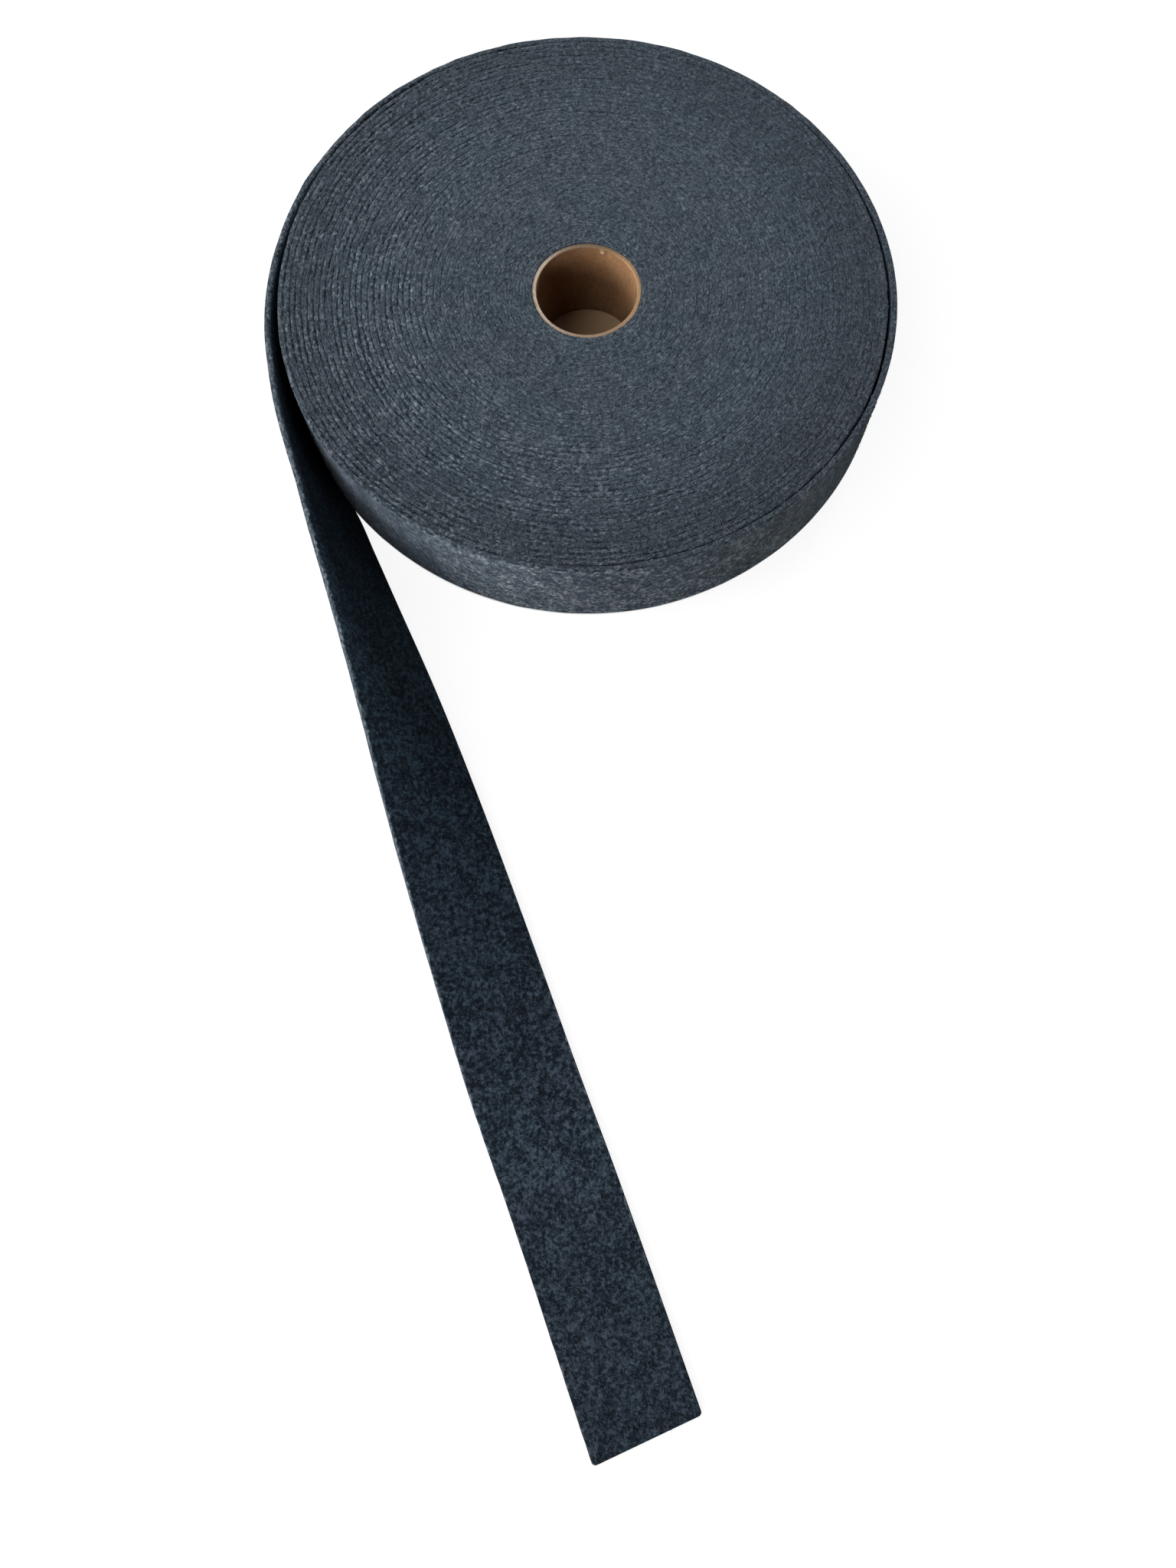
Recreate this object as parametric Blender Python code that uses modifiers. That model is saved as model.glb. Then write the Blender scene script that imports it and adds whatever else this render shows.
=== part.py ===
"""A roll of felt tree tape lying on its flank, its last turn slack and its end pulled out over the surface.

The frame is in metres, +Z up, with the origin on the surface under the middle of the whole part's box.
The tape winds outwards anticlockwise, seen from above. Its end leaves the roll on the -X side and runs to -Y.
"""
from collections import namedtuple

import bmesh
import bpy
import numpy as np

# Sizes in millimetres and angles in degrees, for the whole file
MM = 0.001
TAPE_WIDTH = 50.5
TAPE_THICK = 3.0
CORE_OUTER_RADIUS = 27.5
CORE_WALL = 2.1
CORE_EDGE_ROUND = 0.3
CLEARANCE = 0.3

# Where the roll's axis stands in the part's frame, and the tube's centre off that axis
ROLL_AXIS = (1.27, 192.99)
CORE_CENTRE = (1.65, 0.2)

# The cut end is a little off square, with worn corners
END_SKEW = 5.5
END_CORNER = 1.5
CORNER_STEPS = (1.0, 0.35)

# How finely the round shapes are stepped: the tube's sides, degrees along the roll's rim, and millimetres
# along the pulled-out felt
CORE_SEGMENTS = 96
RIM_STEP = 3.0
SECTION_STEP = 8.0

# The outer face of the last turns: its radius at an angle round the roll. It stays tight on the turn below
# as far as SLACK_FROM, stands off it from there on, and leaves the roll after the last row.
Face = namedtuple("Face", "angle radius")
OUTER_FACE = (
    Face(-60, 150.1),
    Face(-40, 151.1),
    Face(-20, 151.9),
    Face(0, 152.3),
    Face(45, 152.3),
    Face(90, 152.4),
    Face(120, 153.0),
    Face(150, 153.2),
    Face(180, 152.9),
    Face(200, 152.7),
    Face(215, 152.3),
    Face(230, 151.7),
    Face(260, 152.2),
    Face(280, 152.9),
    Face(300, 153.6),
    Face(320, 154.9),
    Face(340, 156.2),
    Face(360, 156.6),
    Face(380, 156.2),
    Face(400, 155.8),
    Face(420, 155.9),
    Face(450, 156.1),
    Face(480, 157.2),
    Face(505, 157.2),
    Face(525, 157.6),
)
SLACK_FROM = 303.0

# The pulled-out end: the middle of the felt's section in plan from the roll's axis, and how far the felt
# leans up from the surface, 90 standing on its edge and 0 lying flat. The second row is where it leaves
# the roll; the first only gives its direction there.
Station = namedtuple("Station", "x y lean")
PULLED_END = (
    Station(-143.8, 60.0, 90.0),
    Station(-150.9, 40.0, 89.8),
    Station(-155.1, 20.0, 89.4),
    Station(-156.8, 0.0, 88.5),
    Station(-155.9, -20.0, 87.1),
    Station(-152.2, -40.0, 84.9),
    Station(-146.8, -60.0, 81.4),
    Station(-139.0, -80.0, 76.0),
    Station(-130.1, -100.0, 69.5),
    Station(-120.2, -125.0, 63.0),
    Station(-110.5, -150.0, 57.8),
    Station(-92.2, -200.0, 46.9),
    Station(-72.1, -260.0, 33.3),
    Station(-48.7, -330.0, 19.3),
    Station(-30.1, -385.0, 8.3),
    Station(-11.8, -435.0, 0.0),
    Station(4.2, -480.0, 0.0),
    Station(22.6, -532.0, 0.0),
)

FELT_COLOUR = (0.052, 0.066, 0.083, 1.0)
FELT_ROUGHNESS = 0.95
CARD_COLOUR = (0.42, 0.29, 0.18, 1.0)
CARD_ROUGHNESS = 0.85


def smooth(knots, values, at):
    """Read one smooth curve through a table's rows at the places asked for."""
    knots = np.asarray(knots, dtype=float)
    values = np.asarray(values, dtype=float)
    slopes = np.gradient(values, knots)
    row = np.clip(np.searchsorted(knots, at) - 1, 0, len(knots) - 2)
    span = knots[row + 1] - knots[row]
    t = (at - knots[row]) / span
    from_ends = values[row] * (1 + 2 * t) * (1 - t) ** 2 + values[row + 1] * t ** 2 * (3 - 2 * t)
    from_slopes = slopes[row] * t * (1 - t) ** 2 - slopes[row + 1] * t ** 2 * (1 - t)
    return from_ends + span * from_slopes


def face_radius(angles):
    """Radius of the last turns' outer face at the angles asked for."""
    return smooth([row.angle for row in OUTER_FACE], [row.radius for row in OUTER_FACE], angles)


def round_the_roll(radii, angles, centre=(0.0, 0.0)):
    """Plan points at the radii and angles asked for."""
    turn = np.radians(angles)
    return np.column_stack([centre[0] + radii * np.cos(turn), centre[1] + radii * np.sin(turn)])


def steps_between(first, last, step):
    """Even steps from one value to another, each about as large as asked for."""
    return np.linspace(first, last, int(round(abs(last - first) / step)) + 1)


def roll_outline():
    """The roll's rim in plan: out along the last turns' outer face, back along the slack turn's inside."""
    first = SLACK_FROM - 360.0
    last = OUTER_FACE[-1].angle
    outside = steps_between(first, last, RIM_STEP)
    inside = steps_between(last, SLACK_FROM, RIM_STEP)
    inner_face = face_radius(inside) - TAPE_THICK
    return np.vstack([round_the_roll(face_radius(outside), outside), round_the_roll(inner_face, inside)])


def pulled_path():
    """Sections at even steps along the pulled-out felt: distance, plan x, plan y and lean."""
    rows = np.array(PULLED_END)
    along = np.concatenate([[0.0], np.cumsum(np.hypot(np.diff(rows[:, 0]), np.diff(rows[:, 1])))])
    length = along[-1]
    at = steps_between(along[1] + CLEARANCE, length, SECTION_STEP)
    at = np.sort(np.append(at, length - END_CORNER * np.array(CORNER_STEPS)))
    x, y, lean = (smooth(along, rows[:, column], at) for column in range(3))
    return at, x, y, np.clip(lean, 0.0, 90.0)


def cut_end(from_end):
    """Half the felt's width, and its lean along its own length, at distances back from the cut end."""
    into_corner = np.clip(END_CORNER - from_end, 0.0, END_CORNER)
    half_width = TAPE_WIDTH / 2 - END_CORNER + np.sqrt(END_CORNER ** 2 - into_corner ** 2)
    skew = np.tan(np.radians(END_SKEW)) * np.clip(1.0 - from_end / TAPE_WIDTH, 0.0, 1.0)
    return half_width, skew


def finish(name, colour, roughness):
    material = bpy.data.materials.new(name)
    material.use_nodes = True
    shader = material.node_tree.nodes["Principled BSDF"]
    shader.inputs["Base Color"].default_value = colour
    shader.inputs["Roughness"].default_value = roughness
    shader.inputs["Metallic"].default_value = 0.0
    return material


def put_in(collection, name, data, material):
    """One object of the part, placed with the roll's axis where the frame wants it."""
    part = bpy.data.objects.new(name, data)
    part.location = (ROLL_AXIS[0] * MM, ROLL_AXIS[1] * MM, 0.0)
    data.materials.append(material)
    collection.objects.link(part)
    return part


def make_core_tube(collection, material):
    """The cardboard tube: its wall's profile turned round the tube's own axis."""
    outer = CORE_OUTER_RADIUS
    inner = CORE_OUTER_RADIUS - CORE_WALL
    cut = CORE_EDGE_ROUND
    profile = (
        (outer, TAPE_WIDTH - cut),
        (outer, cut),
        (outer - cut, 0.0),
        (inner + cut, 0.0),
        (inner, cut),
        (inner, TAPE_WIDTH - cut),
        (inner + cut, TAPE_WIDTH),
        (outer - cut, TAPE_WIDTH),
    )
    mesh = bpy.data.meshes.new("core_tube")
    shape = bmesh.new()
    corners = [shape.verts.new((radius * MM, 0.0, height * MM)) for radius, height in profile]
    for corner, following in zip(corners, corners[1:] + corners[:1]):
        shape.edges.new((corner, following))
    shape.to_mesh(mesh)
    shape.free()
    tube = put_in(collection, "core_tube", mesh, material)
    tube.location.x += CORE_CENTRE[0] * MM
    tube.location.y += CORE_CENTRE[1] * MM
    turned = tube.modifiers.new("turned wall", "SCREW")
    turned.steps = CORE_SEGMENTS
    turned.render_steps = CORE_SEGMENTS
    turned.use_merge_vertices = True
    turned.merge_threshold = 0.0001
    return tube


def add_outline(curve, points):
    spline = curve.splines.new("POLY")
    spline.points.add(len(points) - 1)
    for knot, (x, y) in zip(spline.points, points):
        knot.co = (x * MM, y * MM, 0.0, 1.0)
    spline.use_cyclic_u = True


def make_wound_roll(collection, material):
    """The wound turns as one thick ring, whose last turn stands off the rest as it does on the real roll."""
    bore_angles = np.linspace(0.0, 360.0, CORE_SEGMENTS, endpoint=False)
    bore = round_the_roll(np.full(CORE_SEGMENTS, CORE_OUTER_RADIUS + CLEARANCE), bore_angles, CORE_CENTRE)
    curve = bpy.data.curves.new("wound_roll", "CURVE")
    curve.dimensions = "2D"
    curve.fill_mode = "BOTH"
    curve.extrude = TAPE_WIDTH / 2 * MM
    add_outline(curve, roll_outline())
    add_outline(curve, bore)
    roll = put_in(collection, "wound_roll", curve, material)
    roll.location.z = TAPE_WIDTH / 2 * MM
    return roll


def make_loose_end(collection, material):
    """The pulled-out felt as one strip, bent and leaned along its path, from on edge to flat."""
    at, x, y, lean = pulled_path()
    middle = np.column_stack([x, y])
    heading = np.gradient(middle, at, axis=0)
    heading /= np.linalg.norm(heading, axis=1)[:, None]
    outward = np.column_stack([heading[:, 1], -heading[:, 0]])
    tilt = np.radians(lean)
    height = TAPE_WIDTH / 2 * np.sin(tilt) + TAPE_THICK / 2 * np.cos(tilt)
    half_width, skew = cut_end(at[-1] - at)

    mesh = bpy.data.meshes.new("loose_end")
    strip = bmesh.new()
    bmesh.ops.create_grid(strip, x_segments=len(at) - 1, y_segments=1, size=0.5)
    for corner in strip.verts:
        row = int(round((corner.co.x + 0.5) * (len(at) - 1)))
        across = half_width[row] if corner.co.y > 0 else -half_width[row]
        level = middle[row] + across * (np.cos(tilt[row]) * outward[row] + skew[row] * heading[row])
        corner.co = (*level * MM, (height[row] + across * np.sin(tilt[row])) * MM)
    strip.to_mesh(mesh)
    strip.free()
    loose = put_in(collection, "loose_end", mesh, material)
    thick = loose.modifiers.new("felt thickness", "SOLIDIFY")
    thick.thickness = TAPE_THICK * MM
    thick.offset = 0.0
    thick.use_even_offset = True
    return loose


for old in list(bpy.data.objects):
    bpy.data.objects.remove(old, do_unlink=True)

tape_roll = bpy.data.collections.new("felt_tape_roll")
bpy.context.scene.collection.children.link(tape_roll)
felt_grey = finish("slate_felt", FELT_COLOUR, FELT_ROUGHNESS)
cardboard = finish("cardboard", CARD_COLOUR, CARD_ROUGHNESS)
make_core_tube(tape_roll, cardboard)
make_wound_roll(tape_roll, felt_grey)
make_loose_end(tape_roll, felt_grey)
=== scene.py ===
from collections import namedtuple
from math import cos, pi, radians, sin

import bmesh
import bpy
import numpy as np
from mathutils import Matrix, Vector


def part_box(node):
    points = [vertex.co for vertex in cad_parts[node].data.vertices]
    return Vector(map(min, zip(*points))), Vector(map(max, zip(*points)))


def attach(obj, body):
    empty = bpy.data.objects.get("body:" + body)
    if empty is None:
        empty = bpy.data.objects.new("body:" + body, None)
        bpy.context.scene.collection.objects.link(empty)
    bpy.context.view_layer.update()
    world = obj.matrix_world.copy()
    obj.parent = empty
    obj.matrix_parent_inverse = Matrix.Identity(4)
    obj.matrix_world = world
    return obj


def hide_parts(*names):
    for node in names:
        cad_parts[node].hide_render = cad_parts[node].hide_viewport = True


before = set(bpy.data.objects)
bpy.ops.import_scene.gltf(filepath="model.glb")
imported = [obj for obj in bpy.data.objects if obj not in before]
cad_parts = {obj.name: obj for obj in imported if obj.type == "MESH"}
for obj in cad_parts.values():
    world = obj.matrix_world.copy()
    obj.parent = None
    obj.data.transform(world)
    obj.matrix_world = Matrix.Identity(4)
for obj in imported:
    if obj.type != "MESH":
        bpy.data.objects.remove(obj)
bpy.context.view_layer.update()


# The camera. The roll was photographed from above and in front, a little over half a metre up, with the
# pulled-out end running towards the viewer. Its place is measured from the axis that the tape winds round.
MM = 0.001
CORE_CENTRE = (1.65, 0.2)  # the tube's centre off that axis, in millimetres
tube_low, tube_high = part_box("core_tube")
TUBE_X = (tube_low.x + tube_high.x) / 2
TUBE_Y = (tube_low.y + tube_high.y) / 2
ROLL_X = TUBE_X - CORE_CENTRE[0] * MM
ROLL_Y = TUBE_Y - CORE_CENTRE[1] * MM

CAMERA_BEFORE_ROLL = 0.39466  # how far in front of the roll's axis it is
CAMERA_HEIGHT = 0.58014
CAMERA_PITCH = 75.25  # degrees below level
CAMERA_ROLL = -0.536
LENS = 28.125


def new_object(name, data):
    """An object in the scene."""
    made = bpy.data.objects.new(name, data)
    bpy.context.scene.collection.objects.link(made)
    return made


lens = bpy.data.cameras.new("camera")
lens.lens = LENS
camera = new_object("camera", lens)
camera.matrix_world = (
    Matrix.Translation((ROLL_X, ROLL_Y - CAMERA_BEFORE_ROLL, CAMERA_HEIGHT))
    @ Matrix.Rotation(radians(90.0 - CAMERA_PITCH), 4, "X")
    @ Matrix.Rotation(radians(CAMERA_ROLL), 4, "Z")
)
bpy.context.scene.camera = camera
bpy.context.scene.view_settings.view_transform = "Standard"


# The cardboard tube in the middle. Plies of brown paper are wound on a slant and glued, so a fine seam
# climbs the bore; it is cut square, and its raw rims show the plies. The first turns of tape hold it.
# The tube and the tape are given in millimetres, the sizes of their patterns and tints in metres.
TUBE_OUTER = 27.5
TUBE_WALL = 2.1
TUBE_HEIGHT = tube_high.z / MM
TUBE_SIDES = 240
BORE_ROWS = 60
RIM_ROWS = 10
RIM_ROUND = 0.35
OUT_OF_ROUND = (0.05, 0.03)  # by three waves round it, and by seven finer ones
PLIES = 5
PLY_STEP = 0.10
RIM_WEAR = 0.048  # how far the upper rim is worn down on average
FINE_WEAR = 0.6  # the finer waves of that wear, against the slow ones
SEAM_RISE = 96.0  # how far the seam climbs in one turn
SEAM_WIDTH = 0.9
SEAM_DEPTH = 0.12
ON_BORE = 0.02  # share of the wall's depth that counts as the bore's surface

# A flake of paper scuffed up in the bore, and the dent beside it; a push is outwards, or inwards below zero
Scuff = namedtuple("Scuff", "angle height size push")
FLAKE = Scuff(70.5, 48.0, 1.2, -0.9)
DENT = Scuff(66.2, 48.4, 0.9, 0.8)
FLAKE_STANDS = 0.4  # how far its paler paper lies inside the bore
FLAKE_EDGE = (0.0013, 0.0020)  # distances from its middle between which that paper ends
FLAKE_RAGGED = 0.0012
FLAKE_SHOWS = 0.8

CARD_DARK = (0.180, 0.092, 0.041)
CARD_MID = (0.250, 0.137, 0.068)
CARD_CLOUDS = 0.30  # how much the fibres' clouds and flecks tell in its colour
CARD_FLECKS = 0.55
CARD_FLAKE = (0.420, 0.320, 0.210)
RIM_RIGHT = (0.320, 0.205, 0.112)  # the raw rim at its right and at its left, as the photo shows it
RIM_LEFT = (0.480, 0.395, 0.315)
RIM_FRONT = 0.70  # how bright it is at its front and at its back, against its sides; at the back this is painted shade
RIM_BACK_SHADE = 0.36
RAW_DEPTH = (0.0012, 0.0002)  # depths under the rim between which the raw board comes on
RAW_FLECKS = 0.3

FIBRE_SIZES = ("Fleck Length", "Fleck Width", "Hair Spacing", "Cloud Size")  # of a pattern of fibres
BOARD_FIBRES = (0.0012, 0.0020, 0.0022, 0.009)
FLECK_GAIN = 1.98
HAIR_TURNS = (0.4, 1.5, 2.6)  # radians between three layers of hairs
HAIR_STRETCH = (0.22, 1.0, 1.0)
HAIR_WIDTH = 0.022
HAIR_RELIEF = 0.35


def put(tree, kind, inputs=(), **options):
    """Add a node, set its options, and set or wire its inputs by name or number."""
    node = tree.nodes.new(kind)
    for name, value in options.items():
        setattr(node, name, value)
    for key, value in dict(inputs).items():
        if isinstance(value, bpy.types.NodeSocket):
            tree.links.new(value, node.inputs[key])
        else:
            node.inputs[key].default_value = value
    return node


def maths(tree, operation, *values):
    """One Math node's result."""
    return put(tree, "ShaderNodeMath", enumerate(values), operation=operation).outputs[0]


def minus(tree, first, second):
    return maths(tree, "SUBTRACT", first, second)


def times(tree, first, second):
    return maths(tree, "MULTIPLY", first, second)


def times_plus(tree, first, second, added):
    return maths(tree, "MULTIPLY_ADD", first, second, added)


def vector_maths(tree, operation, *values):
    """One Vector Math node's vector."""
    return put(tree, "ShaderNodeVectorMath", enumerate(values), operation=operation).outputs[0]


def measure(tree, operation, *values):
    """One Vector Math node's number, such as a length or a distance."""
    return put(tree, "ShaderNodeVectorMath", enumerate(values), operation=operation).outputs["Value"]


def scaled(tree, vector, amount):
    """A vector or a colour, times a number."""
    return put(tree, "ShaderNodeVectorMath", {0: vector, "Scale": amount}, operation="SCALE").outputs[0]


def mixed(tree, share, first, second):
    """A blend of two colours: the first where the share is 0, the second where it is 1."""
    return put(tree, "ShaderNodeMix", {0: share, 4: first, 5: second}, data_type="VECTOR").outputs[1]


def combined(tree, **axes):
    return put(tree, "ShaderNodeCombineXYZ", axes).outputs[0]


def separated(tree, vector):
    return put(tree, "ShaderNodeSeparateXYZ", {0: vector}).outputs


def remap(tree, value, low, high, to_low=0.0, to_high=1.0):
    """A value's place between two others, eased at both ends."""
    inputs = {"Value": value, "From Min": low, "From Max": high, "To Min": to_low, "To Max": to_high}
    return put(tree, "ShaderNodeMapRange", inputs, interpolation_type="SMOOTHSTEP").outputs[0]


def noise(tree, place, scale, detail, roughness=0.5, distortion=0.0):
    """Soft random values about a half, of so many lumps to the unit of the place."""
    inputs = {"Vector": place, "Scale": scale, "Detail": detail, "Roughness": roughness,
              "Distortion": distortion}
    return put(tree, "ShaderNodeTexNoise", inputs).outputs["Fac"]


def swing(tree, value, gain, onto=0.5):
    """How far a value is from a half, times a gain, added to another value."""
    return times_plus(tree, minus(tree, value, 0.5), gain, onto)


def colour_steps(tree, value, steps):
    """A colour ramp through the steps given, each a place and a colour."""
    ramp = put(tree, "ShaderNodeValToRGB", {"Fac": value})
    points = ramp.color_ramp.elements
    while len(points) < len(steps):
        points.new(0.5)
    for point, (place, colour) in zip(points, steps):
        point.position = place
        point.color = (*colour, 1.0)
    return ramp.outputs["Color"]


def fibre_group():
    """Fibres pressed together: fine flecks, stray hairs and soft clouds, from a place measured in metres."""
    tree = bpy.data.node_groups.new("pressed fibres", "ShaderNodeTree")
    socket = tree.interface.new_socket
    socket("Place", in_out="INPUT", socket_type="NodeSocketVector")
    for name in FIBRE_SIZES:
        socket(name, in_out="INPUT", socket_type="NodeSocketFloat")
    for name in ("Flecks", "Hairs", "Clouds", "Relief"):
        socket(name, in_out="OUTPUT", socket_type="NodeSocketFloat")
    given = tree.nodes.new("NodeGroupInput").outputs
    length, width = given["Fleck Length"], given["Fleck Width"]
    place = vector_maths(tree, "DIVIDE", given["Place"], combined(tree, X=length, Y=length, Z=width))
    flecks = swing(tree, noise(tree, place, 1.0, 2.0, 0.42), FLECK_GAIN)

    hairs = None
    per_hair = maths(tree, "DIVIDE", 1.0, given["Hair Spacing"])
    for turn in HAIR_TURNS:
        turned = put(tree, "ShaderNodeVectorRotate", {"Vector": given["Place"], "Angle": turn}).outputs[0]
        turned = vector_maths(tree, "MULTIPLY", turned, HAIR_STRETCH)
        strands = noise(tree, turned, per_hair, 1.0, distortion=0.6)
        ridge = maths(tree, "ABSOLUTE", minus(tree, strands, 0.5))
        ridge = remap(tree, ridge, 0.0, HAIR_WIDTH, 1.0, 0.0)
        hairs = ridge if hairs is None else maths(tree, "MAXIMUM", hairs, ridge)

    per_cloud = maths(tree, "DIVIDE", 1.0, given["Cloud Size"])
    clouds = remap(tree, noise(tree, given["Place"], per_cloud, 2.0), 0.3, 0.7)
    relief = times_plus(tree, hairs, HAIR_RELIEF, flecks)
    put(tree, "NodeGroupOutput", {"Flecks": flecks, "Hairs": hairs, "Clouds": clouds, "Relief": relief})
    return tree


pressed_fibres = fibre_group()


def fibres_at(tree, place, sizes):
    """The fibre pattern at a place, with its four sizes set."""
    inputs = {"Place": place, **dict(zip(FIBRE_SIZES, sizes))}
    return put(tree, "ShaderNodeGroup", inputs, node_tree=pressed_fibres).outputs


def new_material(name, roughness):
    """An empty matt material: its tree and its shader."""
    material = bpy.data.materials.new(name)
    material.use_nodes = True
    shader = material.node_tree.nodes["Principled BSDF"]
    shader.inputs["Roughness"].default_value = roughness
    shader.inputs["Specular IOR Level"].default_value = 0.25
    return material, material.node_tree, shader


def add_bump(tree, shader, height, distance, strength):
    inputs = {"Height": height, "Distance": distance, "Strength": strength}
    tree.links.new(put(tree, "ShaderNodeBump", inputs).outputs["Normal"], shader.inputs["Normal"])


def place_piece(name, mesh, slot, *nodes):
    """Make a finished mesh a piece that rides on the roll and stands for CAD nodes."""
    piece = new_object(name, mesh)
    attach(piece, "root")
    if nodes:
        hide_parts(*nodes)
    return piece


def tube_profile():
    """The wall's outline as (radius, height), down the outside and up the bore, its corners rounded."""
    outer = TUBE_OUTER
    inner = TUBE_OUTER - TUBE_WALL
    corner = np.radians(np.linspace(0.0, 90.0, 4))
    inset = RIM_ROUND * (1 - np.cos(corner))
    drop = RIM_ROUND * (1 - np.sin(corner))
    across = np.linspace(inner + RIM_ROUND, outer - RIM_ROUND, RIM_ROWS + 1)[1:-1]
    up_bore = np.linspace(RIM_ROUND, TUBE_HEIGHT - RIM_ROUND, BORE_ROWS + 1)[1:-1]
    stretches = (
        (outer - inset[::-1], TUBE_HEIGHT - drop[::-1]),
        (outer - inset, drop),
        (across[::-1], np.full(len(across), 0.0)),
        (inner + inset[::-1], drop[::-1]),
        (np.full(len(up_bore), inner), up_bore),
        (inner + inset, TUBE_HEIGHT - drop),
        (across, np.full(len(across), TUBE_HEIGHT)),
    )
    return np.hstack(stretches).T


def make_tube_mesh(material):
    """Turn the wall's outline round the tube's axis, then press in its seam, plies, wear and scuffs."""
    outline = bpy.data.meshes.new("tube outline")
    shape = bmesh.new()
    corners = [shape.verts.new((radius * MM, 0.0, height * MM)) for radius, height in tube_profile()]
    for corner, following in zip(corners, corners[1:] + corners[:1]):
        shape.edges.new((corner, following))
    shape.to_mesh(outline)
    shape.free()
    turned = new_object("tube outline", outline)
    turning = turned.modifiers.new("turned wall", "SCREW")
    turning.steps = turning.render_steps = TUBE_SIDES
    turning.use_merge_vertices = True
    turning.merge_threshold = 0.00001
    wall = bpy.data.meshes.new_from_object(turned.evaluated_get(bpy.context.evaluated_depsgraph_get()))
    bpy.data.objects.remove(turned)

    places = np.zeros(len(wall.vertices) * 3)
    wall.vertices.foreach_get("co", places)
    places = places.reshape(-1, 3) / MM
    radius = np.hypot(places[:, 0], places[:, 1])
    angle = np.arctan2(places[:, 1], places[:, 0])
    height = places[:, 2]
    depth = (radius - (TUBE_OUTER - TUBE_WALL)) / TUBE_WALL  # 0 at the bore, 1 outside
    on_bore = depth < ON_BORE

    climb = (height - SEAM_RISE * angle / (2 * pi) + SEAM_RISE / 4) / SEAM_RISE
    off_seam = (climb - np.round(climb)) * SEAM_RISE
    radius += SEAM_DEPTH * np.exp(-(off_seam / SEAM_WIDTH) ** 2) * on_bore
    radius += OUT_OF_ROUND[0] * np.sin(3 * angle + 0.7) + OUT_OF_ROUND[1] * np.sin(7 * angle + height / 9.0)

    ply = np.clip(depth, 0.0, 0.999) * PLIES
    on_rim = (height > TUBE_HEIGHT / 2) * (height > TUBE_HEIGHT - RIM_ROUND * 1.01)
    waves = np.sin(5 * angle + 2.1 * np.floor(ply)) + FINE_WEAR * np.sin(13 * angle + 4.0 * np.floor(ply))
    worn = RIM_WEAR * (1 + waves / (1 + FINE_WEAR))
    height -= on_rim * (PLY_STEP * (0.5 - 0.5 * np.cos(2 * pi * ply)) + worn)
    for scuff in (FLAKE, DENT):
        around = np.angle(np.exp(1j * (angle - radians(scuff.angle)))) * (TUBE_OUTER - TUBE_WALL)
        off_scuff = (around / scuff.size) ** 2 + ((height - scuff.height) / scuff.size) ** 2
        radius += scuff.push * np.exp(-off_scuff) * on_bore

    places = np.column_stack([radius * np.cos(angle), radius * np.sin(angle), height])
    places += (TUBE_X / MM, TUBE_Y / MM, 0.0)
    wall.vertices.foreach_set("co", (places * MM).ravel())
    wall.shade_smooth()
    wall.materials.clear()
    wall.materials.append(material)
    return wall


def cardboard_material():
    """Brown paper board, mottled by its fibres, with paler raw rims and one paler torn flake."""
    material, tree, shader = new_material("brown_board", 0.85)
    place = tree.nodes.new("ShaderNodeTexCoord").outputs["Object"]
    fibres = fibres_at(tree, place, BOARD_FIBRES)
    tone = times(tree, fibres["Flecks"], CARD_FLECKS)
    tone = times_plus(tree, fibres["Clouds"], CARD_CLOUDS, tone)
    board = colour_steps(tree, tone, ((0.1, CARD_DARK), (0.75, CARD_MID)))

    out = (TUBE_OUTER - TUBE_WALL - FLAKE_STANDS) * MM
    turn = radians(FLAKE.angle)
    flake = (TUBE_X + out * cos(turn), TUBE_Y + out * sin(turn), FLAKE.height * MM)
    from_flake = measure(tree, "DISTANCE", place, flake)
    from_flake = times_plus(tree, fibres["Flecks"], FLAKE_RAGGED, from_flake)
    board = mixed(tree, remap(tree, from_flake, *FLAKE_EDGE, FLAKE_SHOWS, 0.0), board, CARD_FLAKE)

    height = separated(tree, place)["Z"]
    rim = remap(tree, height, tube_high.z - RAW_DEPTH[0], tube_high.z - RAW_DEPTH[1])
    flecked = times_plus(tree, fibres["Flecks"], RAW_FLECKS, 1.0 - RAW_FLECKS)
    raw = times(tree, rim, flecked)
    aside, away = separated(tree, vector_maths(tree, "SUBTRACT", place, (ROLL_X, ROLL_Y, 0.0)))[:2]
    half = TUBE_OUTER * MM
    rim_colour = mixed(tree, remap(tree, aside, -half, half), RIM_LEFT, RIM_RIGHT)
    # The rim dimmer at its front, and painted shade at its back
    front = remap(tree, away, -half, -0.5 * half, RIM_FRONT, 1.0)
    back = remap(tree, away, 0.5 * half, half, 1.0, RIM_BACK_SHADE)
    rim_colour = scaled(tree, rim_colour, times(tree, front, back))
    tree.links.new(mixed(tree, raw, board, rim_colour), shader.inputs["Base Color"])
    add_bump(tree, shader, fibres["Relief"], 0.00012, 0.6)
    return material


brown_board = cardboard_material()
place_piece("cardboard_tube", make_tube_mesh(brown_board), "cardboard", "core_tube")


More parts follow.
